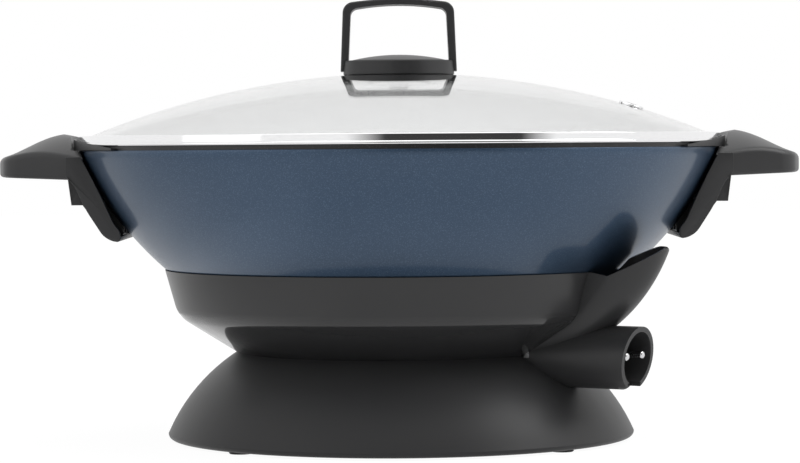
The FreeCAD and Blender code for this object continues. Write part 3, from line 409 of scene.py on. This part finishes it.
def profile(form, corners, closed=True):
    """Wire through corners (radius, height, rounding) in millimetres."""
    points = [form.verts.new((radius * MM, 0.0, height * MM)) for radius, height, _ in corners]
    following = points[1:] + points[:1] if closed else points[1:]
    for first, second in zip(points, following):
        form.edges.new((first, second))
    for point, (_, _, rounding) in zip(points, corners):
        if rounding:
            bmesh.ops.bevel(
                form, geom=[point], offset=rounding * MM, offset_type="OFFSET", segments=ROUND_STEPS,
                profile=0.5, affect="VERTICES", material=-1)


def turn(form):
    """Spin the wire round the wok's axis into a closed skin."""
    bmesh.ops.spin(
        form, geom=form.verts[:] + form.edges[:], cent=(0, 0, 0), axis=(0, 0, 1),
        angle=math.tau, steps=TURN_STEPS, use_merge=True)
    bmesh.ops.remove_doubles(form, verts=form.verts, dist=MERGE_DISTANCE)
    bmesh.ops.recalc_face_normals(form, faces=form.faces)


def sphere_arc(radius, centre_height, first, last, count):
    """Corners along a sphere's lower half, between two distances from the axis."""
    first_lean = math.asin(first / radius)
    last_lean = math.asin(last / radius)
    leans = [first_lean + (last_lean - first_lean) * step / count for step in range(count + 1)]
    return [(radius * math.sin(lean), centre_height - radius * math.cos(lean), 0) for lean in leans]


def place(name, form, body, slot_name, *stands_for):
    """Make the object, give it its finish and let it ride on a body in place of CAD nodes."""
    mesh = bpy.data.meshes.new(name)
    form.to_mesh(mesh)
    form.free()
    mesh.shade_smooth()
    mesh.set_sharp_from_angle(angle=SHARP_ANGLE)
    mesh.materials.append(finishes[slot_name])
    piece = bpy.data.objects.new(name, mesh)
    bpy.context.scene.collection.objects.link(piece)
    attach(piece, body)
    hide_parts(*stands_for)
    print(name, "faces:", len(mesh.polygons))


# %% [markdown]
# ## Cutting and joining forms
# A plane cut leaves a hole that has to be closed again, and a Boolean needs real objects for a
# moment. Both are wrapped here, so that the shells below read as a few steps. The exact solver is
# slower than the fast one, but it also copes with faces that lie close together.

# %% Cutting and joining
def helper(form):
    """Short-lived object of a form."""
    mesh = bpy.data.meshes.new("helper")
    form.to_mesh(mesh)
    form.free()
    made = bpy.data.objects.new("helper", mesh)
    bpy.context.scene.collection.objects.link(made)
    return made


def join(form, extra):
    """Add a second form to the first."""
    made = helper(extra)
    form.from_mesh(made.data)
    bpy.data.meshes.remove(made.data)


def cut_by_plane(form, point, normal, **dropped_side):
    """Cut a solid form by a plane, drop one side of it and close the cut."""
    halves = bmesh.ops.bisect_plane(
        form, geom=form.verts[:] + form.edges[:] + form.faces[:], plane_co=point, plane_no=normal,
        **dropped_side)
    rim_edges = [item for item in halves["geom_cut"] if isinstance(item, bmesh.types.BMEdge)]
    bmesh.ops.edgeloop_fill(form, edges=rim_edges)
    bmesh.ops.recalc_face_normals(form, faces=form.faces)


def subtract(form, cutter_form):
    """The first form without the second, by an exact Boolean."""
    base = helper(form)
    cutter = helper(cutter_form)
    step = base.modifiers.new("cut", "BOOLEAN")
    step.operation = "DIFFERENCE"
    step.solver = "EXACT"
    step.object = cutter
    bpy.context.view_layer.update()
    seen = base.evaluated_get(bpy.context.evaluated_depsgraph_get())
    result = bpy.data.meshes.new_from_object(seen)
    remains = bmesh.new()
    remains.from_mesh(result)
    for spare in (base.data, cutter.data, result):
        bpy.data.meshes.remove(spare)
    return remains


# %% [markdown]
# ## Pan
# The bowl is a sphere's cap with a flat bottom. Its wall runs up into a narrow upright band without
# a ledge, and the band's upper edge is softly rounded, which draws the pale line below the dark lip.
# One profile holds the outside, the lip and the inside. The sphere's curve stops `ARC_END` short of
# the rim's radius, and the band starts `BAND_START` above that point. The two ears of the lip beside
# the handles are short rings, cut to a slope by a plane that falls towards the middle, and two bosses
# take the screws of the handles.

# %% Pan
BOWL_RADIUS = 208.5
BOWL_INSIDE = 205.0
BOWL_HEIGHT = BOWL_CENTRE[2] / MM
FLAT_RADIUS = 73.6
FLOOR_INSIDE = 65.5
ARC_STEPS = 40
RIM = 188.4
ARC_END = 0.6
BAND_START = 1.6
ENAMEL_ROUND = 0.5
LIP_SET_IN = 0.8
LIP_FOOT = ENAMEL_TOP / MM
LIP_TOP = 173.7
LIP_INSIDE = 184.5
LIP_OUTER_ROUND = 0.3
LIP_INNER_ROUND = 0.8


def pan_shell():
    form = bmesh.new()
    inside_flat = math.sqrt(BOWL_INSIDE ** 2 - (BOWL_HEIGHT - FLOOR_INSIDE) ** 2)
    outside = sphere_arc(BOWL_RADIUS, BOWL_HEIGHT, FLAT_RADIUS, RIM - ARC_END, ARC_STEPS)
    inside = sphere_arc(BOWL_INSIDE, BOWL_HEIGHT, LIP_INSIDE, inside_flat, ARC_STEPS)
    rim = [
        (RIM, outside[-1][1] + BAND_START, 0),
        (RIM, LIP_FOOT, ENAMEL_ROUND),
        (RIM - LIP_SET_IN, LIP_FOOT, 0),
        (RIM - LIP_SET_IN, LIP_TOP, LIP_OUTER_ROUND),
        (LIP_INSIDE, LIP_TOP, LIP_INNER_ROUND)]
    floor = outside[0][1]
    profile(form, [(0, floor, 0)] + outside + rim + inside + [(0, FLOOR_INSIDE, 0)], closed=False)
    turn(form)
    return form


EAR_INSIDE = 190.2
EAR_OUTSIDE = 191.6
EAR_SEAT = LIP_INSIDE + 1.5
EAR_OVERLAP = 0.3
EAR_ROUND = 0.3
EAR_PEAK = 177.9
EAR_BLANK_TOP = EAR_PEAK + 3
EAR_SLOPE = 0.178
EAR_REACH = math.radians(66)
EAR_STEPS = 44


def ear(side):
    """Ring of the lip beside a handle; side is 1 for the right-hand handle and -1 for the left."""
    form = bmesh.new()
    profile(form, [
        (EAR_SEAT, LIP_FOOT, 0), (EAR_OUTSIDE, LIP_FOOT, EAR_ROUND), (EAR_OUTSIDE, EAR_BLANK_TOP, 0),
        (EAR_INSIDE, EAR_BLANK_TOP, 0), (EAR_INSIDE, LIP_TOP - EAR_OVERLAP, 0),
        (EAR_SEAT, LIP_TOP - EAR_OVERLAP, 0)])
    bmesh.ops.contextual_create(form, geom=form.edges[:])
    bmesh.ops.spin(
        form, geom=form.verts[:] + form.edges[:] + form.faces[:], cent=(0, 0, 0), axis=(0, 0, 1),
        angle=EAR_REACH, steps=EAR_STEPS)
    half_turn = math.pi if side < 0 else 0
    swing = Matrix.Rotation(half_turn - EAR_REACH / 2, 3, "Z")
    bmesh.ops.rotate(form, verts=form.verts, cent=(0, 0, 0), matrix=swing)
    top = (side * EAR_OUTSIDE * MM, 0, EAR_PEAK * MM)
    cut_by_plane(form, top, (-side * EAR_SLOPE, 0, 1), clear_outer=True)
    return form


BOSS_RADIUS = 6.0
BOSS_REACH = 184.5
BOSS_HEIGHT = 147.0
BOSS_LENGTH = 16.0
BOSS_STEPS = 48


def boss(side):
    """Boss that takes a side handle's screw, cut off inside the wall along the bowl's slope."""
    form = bmesh.new()
    middle = (side * (BOSS_REACH - BOSS_LENGTH / 2) * MM, 0, BOSS_HEIGHT * MM)
    bmesh.ops.create_cone(
        form, cap_ends=True, segments=BOSS_STEPS, depth=BOSS_LENGTH * MM,
        radius1=BOSS_RADIUS * MM, radius2=BOSS_RADIUS * MM,
        matrix=Matrix.Translation(middle) @ Matrix.Rotation(math.pi / 2, 4, "Y"))
    drop = (BOSS_HEIGHT - BOWL_HEIGHT) * MM
    wall_reach = side * math.sqrt(WALL_MIDDLE ** 2 - drop ** 2)
    cut_by_plane(form, (wall_reach, 0, BOSS_HEIGHT * MM), (wall_reach, 0, drop), clear_inner=True)
    return form


pan = pan_shell()
for side in (1, -1):
    join(pan, ear(side))
    join(pan, boss(side))
place("pan_shell", pan, "wok", "pan_enamel", "wok_pan")

# %% [markdown]
# ## Lid band
# The steel band is rolled round the edge of the glass: a bead at its foot, a tall upright wall, a
# tight bend and a lip on the glass, with a flange that drops into the pan. The upright wall mirrors
# the dark gap in front, and the bead and the bend catch thin white lines.

# %% Lid band
BAND_OUTLINE = [
    (189.9, 173.7, 0.6), (189.9, 175.2, 0.6), (189.2, 175.5, 0.1), (189.2, 179.5, 0.6),
    (185.0, 179.7, 0.4), (185.0, 178.4, 0), (186.3, 178.0, 0), (186.3, 173.95, 0),
    (182.2, 175.6, 0), (182.2, 168.5, 0.3), (183.0, 168.5, 0.3), (183.0, 173.7, 0)]

band = bmesh.new()
profile(band, BAND_OUTLINE)
turn(band)
place("lid_band", band, "lid", "lid_steel", "lid_rim_band")

# %% [markdown]
# ## Heat skirt
# The skirt is pressed sheet: a nearly upright wall, a generous bend and an undercut cone. The bend
# decides its look, because it carries the long pale line between wall and undercut. The notch for
# the socket's moulding is cut by a Boolean with the hull of that moulding, grown by a hair.

# %% Skirt shell
SKIRT_WALL = 2.6
SKIRT_TOP_REACH = 138.9
SKIRT_GAP = 0.5
TOP_ROUND = 0.4
BEND_REACH = 131.3
BEND_HEIGHT = 73.6
BEND_ROUND = 6.0
BEND_INNER_HEIGHT = 76.0
BEND_INNER_ROUND = 3.0
NECK_REACH = 93.4
NECK_FOOT = 43.0
NECK_INNER_FOOT = 46.0
NECK_INNER_TOP = 54.0
CONE_REACH = 96.8
CONE_FOOT = 52.0
NOTCH_GAP = 0.3


def skirt_shell():
    form = bmesh.new()
    top = sphere_arc(
        BOWL_RADIUS + SKIRT_GAP, BOWL_HEIGHT, SKIRT_TOP_REACH, SKIRT_TOP_REACH - SKIRT_WALL, 2)
    profile(form, [
        (0, NECK_FOOT, 0), (NECK_REACH, NECK_FOOT, 0), (NECK_REACH, CONE_FOOT, 0),
        (CONE_REACH, CONE_FOOT, 0), (BEND_REACH, BEND_HEIGHT, BEND_ROUND),
        (top[0][0], top[0][1], TOP_ROUND), top[-1],
        (BEND_REACH - SKIRT_WALL, BEND_INNER_HEIGHT, BEND_INNER_ROUND),
        (NECK_REACH - SKIRT_WALL, NECK_INNER_TOP, 0),
        (NECK_REACH - SKIRT_WALL, NECK_INNER_FOOT, 0), (0, NECK_INNER_FOOT, 0)], closed=False)
    turn(form)
    return form


def hull_of(node, grow):
    """Convex hull round a CAD node, grown a little along its normals."""
    form = bmesh.new()
    form.from_mesh(nodes[node].data)
    hull = bmesh.ops.convex_hull(form, input=form.verts)
    bmesh.ops.delete(form, geom=hull["geom_interior"] + hull["geom_unused"], context="VERTS")
    bmesh.ops.recalc_face_normals(form, faces=form.faces)
    for vertex in form.verts:
        vertex.co += vertex.normal * grow
    return form


skirt = subtract(skirt_shell(), hull_of("probe_housing", NOTCH_GAP * MM))
place("skirt_shell", skirt, "wok", "skirt_black", "heat_skirt")

# %% [markdown]
# ## Side handles
# The handle keeps its wing, its screw tower and the rib below the tower. The two flanks of its leg
# are cut off by blocks, and a leg with a curved back takes their place: one outline is rounded,
# extruded, tapered and bevelled, and a second one hollows it towards the bowl. Changing the sign of
# every reach gives the left-hand side.

# %% Side handles
LEG_TOE = 118.2
LEG_TOP = 154.4
LEG_TOE_HALF = 45.0
LEG_TOP_HALF = 57.2
LEG_WALL = 3.2
LEG_EDGE_ROUND = 1.3
LEG_EDGE_STEPS = 3
FLANK_CORNERS = 4
CAD_MERGE_DISTANCE = 0.000002
LEG_OUTLINE = [
    (191.5, 167.5, 0), (191.5, 156.5, 0), (187.0, 152.5, 5.0), (181.5, 138.5, 6.0),
    (169.4, 118.6, 6.0), (161.4, 118.2, 2.4), (161.6, 124.5, 1.2), (165.0, 129.0, 2.0),
    (172.8, 147.8, 6.0), (180.9, 164.0, 0), (182.7, 167.5, 0)]
LEG_HOLLOW = [
    (150.0, 121.2, 0), (166.4, 121.2, 3.0), (178.2, 140.0, 4.0), (183.6, 153.0, 4.0),
    (187.2, 158.0, 0), (189.5, 163.0, 0), (191.0, 170.0, 0), (150.0, 170.0, 0)]

CUT_IN = 150
CUT_OUT = 205
CUT_LOW = 100
CUT_WING = LEG_TOP - 0.3
CUT_ROOT = 189.0
CUT_ROOT_TOP = 166.3
CUT_NEAR = 11.5
CUT_FAR = 75.0
CUT_OUTLINE = [
    (CUT_IN, CUT_LOW, 0), (CUT_OUT, CUT_LOW, 0), (CUT_OUT, CUT_WING, 0), (CUT_ROOT, CUT_WING, 0),
    (CUT_ROOT, CUT_ROOT_TOP, 0), (CUT_IN, CUT_ROOT_TOP, 0)]


def drawn_out(corners, low, high, side):
    """Rounded outline in the X-Z plane, drawn out along Y between two values."""
    form = bmesh.new()
    profile(form, [(side * reach, height, rounding) for reach, height, rounding in corners])
    bmesh.ops.contextual_create(form, geom=form.edges[:])
    bmesh.ops.translate(form, verts=form.verts, vec=(0, low * MM, 0))
    drawn = bmesh.ops.extrude_face_region(form, geom=form.faces[:])
    far = [item for item in drawn["geom"] if isinstance(item, bmesh.types.BMVert)]
    bmesh.ops.translate(form, verts=far, vec=(0, (high - low) * MM, 0))
    bmesh.ops.recalc_face_normals(form, faces=form.faces)
    return form


def taper(form):
    """Narrow a leg towards its toe."""
    for vertex in form.verts:
        share = min(max((vertex.co.z / MM - LEG_TOE) / (LEG_TOP - LEG_TOE), 0.0), 1.0)
        vertex.co.y *= (LEG_TOE_HALF + (LEG_TOP_HALF - LEG_TOE_HALF) * share) / LEG_TOP_HALF


def leg_shell(side):
    """Leg with rounded ends, open towards the bowl."""
    leg = drawn_out(LEG_OUTLINE, -LEG_TOP_HALF, LEG_TOP_HALF, side)
    taper(leg)
    ends = [face for face in leg.faces if len(face.verts) > FLANK_CORNERS]
    bmesh.ops.bevel(
        leg, geom=[edge for face in ends for edge in face.edges], offset=LEG_EDGE_ROUND * MM,
        offset_type="OFFSET", segments=LEG_EDGE_STEPS, profile=0.5, affect="EDGES", material=-1,
        clamp_overlap=True)
    bmesh.ops.recalc_face_normals(leg, faces=leg.faces)
    hollow = drawn_out(LEG_HOLLOW, LEG_WALL - LEG_TOP_HALF, LEG_TOP_HALF - LEG_WALL, side)
    taper(hollow)
    return subtract(leg, hollow)


def side_handle(side, node):
    handle = bmesh.new()
    handle.from_mesh(nodes[node].data)
    bmesh.ops.remove_doubles(handle, verts=handle.verts, dist=CAD_MERGE_DISTANCE)
    for low, high in ((CUT_NEAR, CUT_FAR), (-CUT_FAR, -CUT_NEAR)):
        handle = subtract(handle, drawn_out(CUT_OUTLINE, low, high, side))
    join(handle, leg_shell(side))
    place(node + "_shell", handle, "wok", "handle_black", node)


side_handle(1, "handle_right")
side_handle(-1, "handle_left")

# %% [markdown]
# ## Table
# The background is white because the world and the table are white to the camera, not because the
# wok is flooded with light. A Light Path node tells camera, mirror and glass rays from the ones that
# light a surface. The table stays a real surface for a tenth of its look, so that it keeps a soft
# shadow under the foot. To mirror rays the table glows brighter near the wok, on the left and far
# behind. This is a painted reflection of bright cards that don't stand there, and in mirrors it also
# paints over the shade under the bowl.

# %% Table
TABLE_HALF = 6.0
TABLE_GLOW = 0.9
TABLE_LIT = 0.45
MIRROR_EVERYWHERE = 0.12
MIRROR_NEAR = 0.68
MIRROR_LEFT = 0.5
MIRROR_BEHIND = 0.3
MIRROR_MOST = 0.95
NEAR_REACH, NEAR_BLEND = 0.21, 0.08
LEFT_FROM, LEFT_BLEND = -0.11, 0.06
LEFT_REACH, LEFT_REACH_BLEND = 0.33, 0.10
BEHIND_FROM, BEHIND_BLEND = 0.5, 0.3


def table_finish():
    finish = Finish("table")
    camera_ray, glossy_ray, clear_ray = finish.rays()
    white = (1 - (1 - TABLE_GLOW) * TABLE_LIT) / TABLE_GLOW
    glow = finish.node("ShaderNodeEmission", {}, {"Color": (1.0, 1.0, 1.0), "Strength": white})
    east, north, _ = finish.split(finish.place)
    from_axis = finish.node(
        "ShaderNodeVectorMath", {"operation": "LENGTH"}, {0: finish.place}, "Value")
    # Painted reflection: mirror rays see the table glow brighter near the wok, where the bowl's shade
    # falls, on the left and far behind.
    near = from_axis.below(NEAR_REACH, NEAR_BLEND)
    left = east.below(LEFT_FROM, LEFT_BLEND) * from_axis.below(LEFT_REACH, LEFT_REACH_BLEND)
    behind = north.above(BEHIND_FROM, BEHIND_BLEND)
    painted_mirror_glow = MIRROR_EVERYWHERE + near * MIRROR_NEAR + left * MIRROR_LEFT + behind * MIRROR_BEHIND
    share = (camera_ray + clear_ray).maths("MINIMUM", 1.0) * TABLE_GLOW
    share = share.maths("MAXIMUM", glossy_ray * painted_mirror_glow.maths("MINIMUM", MIRROR_MOST))
    finish.surface(base_color=(0.86, 0.86, 0.86), roughness=0.9)
    lit = Wire(finish, finish.shader.outputs[0])
    blend = finish.node("ShaderNodeMixShader", {}, {0: share, 1: lit, 2: glow})
    finish.plug(finish.tree.nodes["Material Output"].inputs["Surface"], blend)
    return finish.material


table_mesh = bpy.data.meshes.new("table")
signs = ((-1, -1), (1, -1), (1, 1), (-1, 1))
table_mesh.from_pydata([(x * TABLE_HALF, y * TABLE_HALF, 0) for x, y in signs], [], [(0, 1, 2, 3)])
table = bpy.data.objects.new("table", table_mesh)
table.data.materials.append(table_finish())
bpy.context.scene.collection.objects.link(table)
print("table:", 2 * TABLE_HALF, "m wide")

# %% [markdown]
# ## Lamps
# Three softboxes shape the dark pieces: a key on the right, a weak fill on the left and a large one
# above. Area lamps suit this, because their size sets how soft a highlight's edge is. Each one is
# placed by its angle round the wok, its height angle and its distance.

# %% Lamps
AIM = Vector((0.0, 0.0, 0.12))


def softbox(name, azimuth, elevation, distance, width, height, watts):
    """Area lamp round the wok: azimuth 0 is the front, 90 is the right-hand side."""
    light = bpy.data.lights.new(name, "AREA")
    light.shape = "RECTANGLE"
    light.size = width
    light.size_y = height
    light.energy = watts
    lamp = bpy.data.objects.new(name, light)
    around = math.radians(azimuth)
    lift = math.radians(elevation)
    level = math.cos(lift)
    away = Vector((math.sin(around) * level, -math.cos(around) * level, math.sin(lift)))
    lamp.location = AIM + away * distance
    lamp.rotation_mode = "QUATERNION"
    lamp.rotation_quaternion = away.to_track_quat("Z", "Y")
    bpy.context.scene.collection.objects.link(lamp)


# Name, azimuth, elevation, distance, width, height and watts.
LAMPS = [
    ("key_right", 78, 42, 1.6, 0.8, 0.8, 9.0),
    ("fill_left", -62, 22, 1.8, 1.0, 1.2, 1.4),
    ("top", 0, 88, 1.8, 1.6, 1.6, 8.0),
]
for lamp_values in LAMPS:
    softbox(*lamp_values)
print("lamps:", [light.name for light in bpy.data.lights])

# %% [markdown]
# ## World
# Polished steel shows its surroundings. A studio has a dark gap where the camera stands, and that
# gap is what draws the band's form. The world is white to the camera, to glass and to mirrors, with
# this darker gap in front for mirror rays only, and it lights the wok at a plain, even level. `Studio`
# lends the world's node tree the operators of a material.

# %% World
LIGHT_LEVEL = 0.62
GAP_MIDDLE = math.radians(19)
GAP_HALF = math.radians(37)
GAP_SOFTNESS = math.radians(13)
GAP_HEIGHT = 0.75
GAP_HEIGHT_SOFTNESS = 0.3
GAP_DEPTH = 0.95


class Studio(Finish):
    """The world's tree, written like a material."""

    def __init__(self, name):
        world = bpy.data.worlds.new(name)
        bpy.context.scene.world = world
        world.use_nodes = True
        self.tree = world.node_tree
        self.shader = self.tree.nodes["Background"]
        self.place = self.node("ShaderNodeTexCoord", {}, {}, "Generated")


studio = Studio("studio")
east, north, up = studio.split(studio.place)
camera_ray, glossy_ray, clear_ray = studio.rays()
azimuth = east.maths("ARCTAN2", north * -1.0)
aside = (azimuth - GAP_MIDDLE).maths("ABSOLUTE")
across = (GAP_HALF - aside).maths("DIVIDE", GAP_SOFTNESS).clamped()
upright = (GAP_HEIGHT - up.maths("ABSOLUTE")).maths("DIVIDE", GAP_HEIGHT_SOFTNESS).clamped()
mirror_level = 1 - across * upright * GAP_DEPTH
seen = (camera_ray + clear_ray).clamped()
level = (1 - glossy_ray) * LIGHT_LEVEL + glossy_ray * mirror_level
studio.plug(studio.shader.inputs["Color"], (1.0, 1.0, 1.0))
studio.plug(studio.shader.inputs["Strength"], level.maths("MAXIMUM", seen))
print("world nodes:", len(studio.tree.nodes))

# %% [markdown]
# ## Colour
# The Standard view shows a colour as it is written.

# %% Finish
bpy.context.scene.view_settings.view_transform = "Standard"
